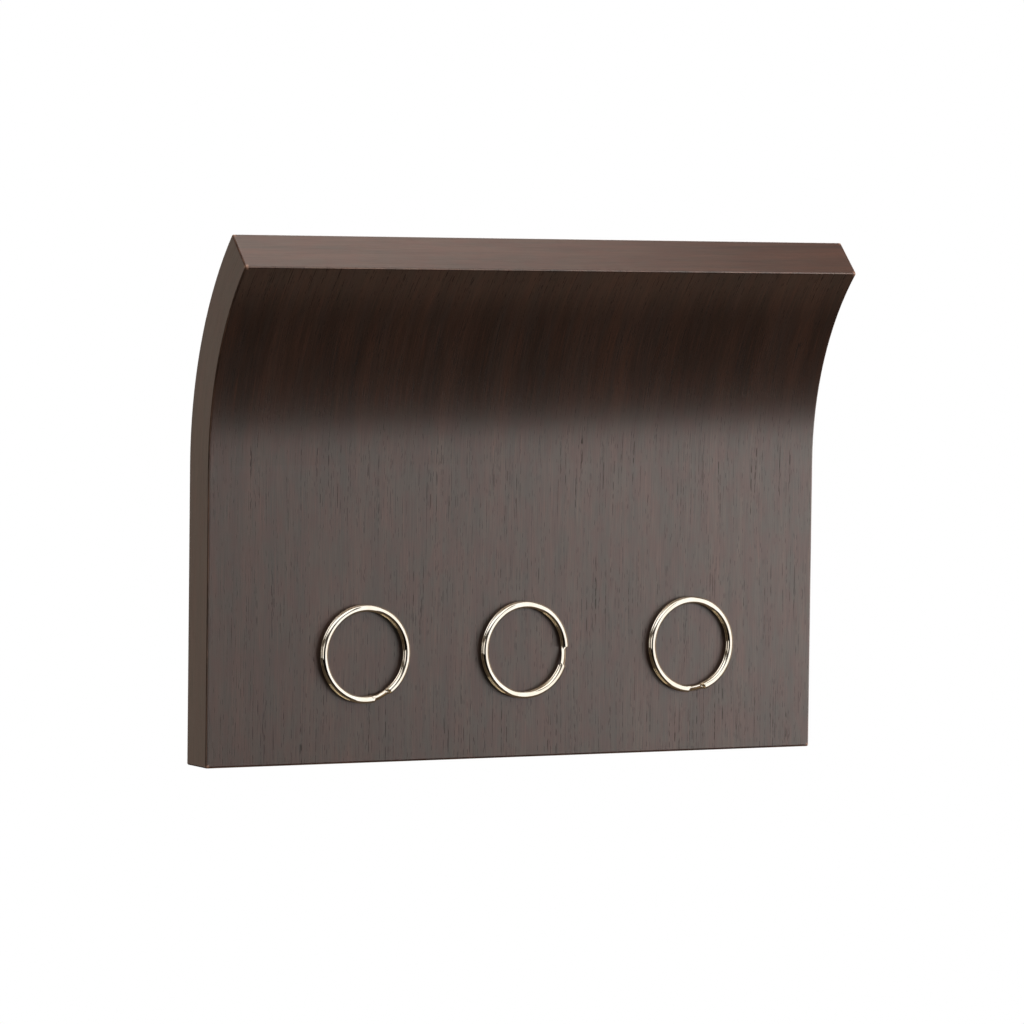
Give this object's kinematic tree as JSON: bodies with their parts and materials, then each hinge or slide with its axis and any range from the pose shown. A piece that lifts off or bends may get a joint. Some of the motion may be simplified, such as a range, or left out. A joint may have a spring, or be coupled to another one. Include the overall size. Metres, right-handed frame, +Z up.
{
  "type": "magnetic key rack and letter holder",
  "caption": "Wall-hung veneered board with a forward-curving lip that holds letters and hidden magnets that hold split key rings.",
  "frame": {"origin": "on the board's flat back, midway between the entry holes of the two keyhole hangers", "axes": "+X along the board's width to the viewer's right, +Y into the wall, +Z up; the front faces -Y"},
  "size_m": [0.273, 0.0511, 0.207],
  "materials": {
    "dark_veneer": "satin lacquer over a dark-stained veneer, grain vertical",
    "core_plywood": "raw moulded plywood",
    "plug_wood": "matte oiled wood",
    "magnet_plating": "bright nickel plating",
    "zinc_steel": "zinc-plated pressed steel",
    "screw_steel": "zinc-plated steel",
    "pad_rubber": "matte elastomer",
    "ring_nickel": "polished nickel-plated spring steel"
  },
  "bodies": {
    "board": {"moulded_core": "core_plywood", "front_veneer": "dark_veneer", "back_veneer": "dark_veneer", "edge_band_top": "dark_veneer", "edge_band_bottom": "dark_veneer", "edge_band_left": "dark_veneer", "edge_band_right": "dark_veneer", "magnet_left": "magnet_plating", "magnet_middle": "magnet_plating", "magnet_right": "magnet_plating", "magnet_backing_left": "zinc_steel", "magnet_backing_middle": "zinc_steel", "magnet_backing_right": "zinc_steel", "magnet_plug_left": "plug_wood", "magnet_plug_middle": "plug_wood", "magnet_plug_right": "plug_wood", "keyhole_hanger_left": "zinc_steel", "keyhole_hanger_right": "zinc_steel", "hanger_screws_left": "screw_steel", "hanger_screws_right": "screw_steel", "wall_pad_lower_left": "pad_rubber", "wall_pad_lower_right": "pad_rubber", "wall_pad_upper_left": "pad_rubber", "wall_pad_upper_right": "pad_rubber"},
    "left_ring": {"split_ring_left": "ring_nickel"},
    "middle_ring": {"split_ring_middle": "ring_nickel"},
    "right_ring": {"split_ring_right": "ring_nickel"},
    "left_ring_free_end": {"split_ring_left_free_end": "ring_nickel"},
    "middle_ring_free_end": {"split_ring_middle_free_end": "ring_nickel"},
    "right_ring_free_end": {"split_ring_right_free_end": "ring_nickel"}
  },
  "joints": [
    {"name": "left_ring_pull", "type": "slide", "parent": "board", "child": "left_ring", "axis": [0, -1, 0], "range_m": [0, 0.06]},
    {"name": "middle_ring_pull", "type": "slide", "parent": "board", "child": "middle_ring", "axis": [0, -1, 0], "range_m": [0, 0.06]},
    {"name": "right_ring_pull", "type": "slide", "parent": "board", "child": "right_ring", "axis": [0, -1, 0], "range_m": [0, 0.06]},
    {"name": "left_ring_spread", "type": "hinge", "parent": "left_ring", "child": "left_ring_free_end", "pos_m": [-0.0762, -0.01932, -0.027], "axis": [-0.9205, 0, -0.3907], "range_deg": [0, 5], "stiffness_Nm_per_rad": 0.3},
    {"name": "middle_ring_spread", "type": "hinge", "parent": "middle_ring", "child": "middle_ring_free_end", "pos_m": [-0.01665, -0.01932, -0.04152], "axis": [-0.1736, 0, -0.9848], "range_deg": [0, 5], "stiffness_Nm_per_rad": 0.3},
    {"name": "right_ring_spread", "type": "hinge", "parent": "right_ring", "child": "right_ring_free_end", "pos_m": [0.07646, -0.01932, -0.02522], "axis": [-0.9914, 0, -0.1305], "range_deg": [0, 5], "stiffness_Nm_per_rad": 0.3}
  ]
}
